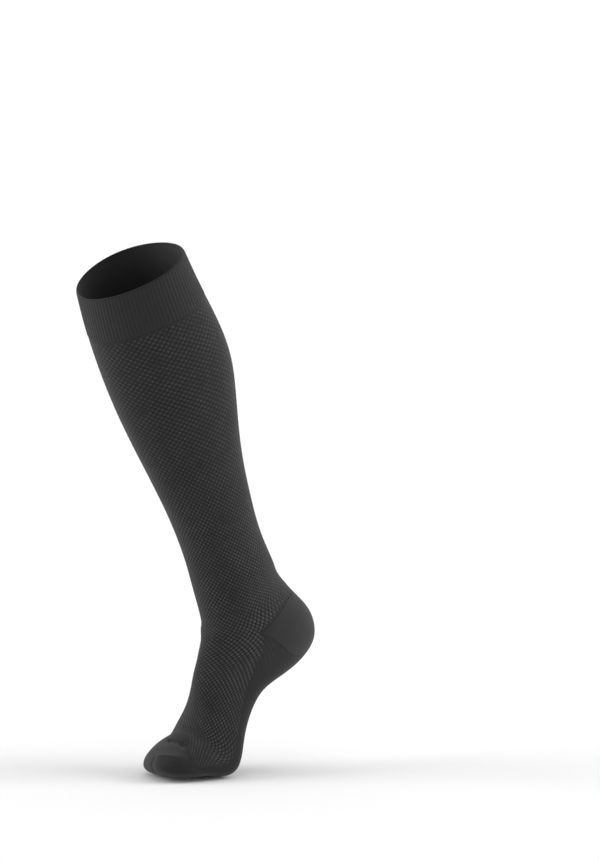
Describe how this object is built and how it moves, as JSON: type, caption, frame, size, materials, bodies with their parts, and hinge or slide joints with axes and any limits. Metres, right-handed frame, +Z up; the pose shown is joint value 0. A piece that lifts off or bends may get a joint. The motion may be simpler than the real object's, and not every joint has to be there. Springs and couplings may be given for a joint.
{
  "type": "compression stocking",
  "caption": "Knee-high knitted compression stocking with a ribbed top band, textured leg and instep, and plain heel, sole and toe.",
  "frame": {"origin": "middle of the top opening, where the wearer's leg holds the stocking up", "axes": "+Z up, toes towards -Y, inner (big toe) side towards +X; the leg leans forward and the heel is raised, as on a foot standing on its toes"},
  "size_m": [0.1184, 0.2554, 0.4985],
  "materials": {
    "rib_knit": "matte fine ribbed knit",
    "pattern_knit": "matte knit with small raised diamonds",
    "plain_knit": "smooth fine plain knit"
  },
  "bodies": {
    "root": {"top_band": "rib_knit", "leg": "pattern_knit", "heel": "plain_knit", "foot": "pattern_knit", "toe": "plain_knit"}
  },
  "joints": []
}
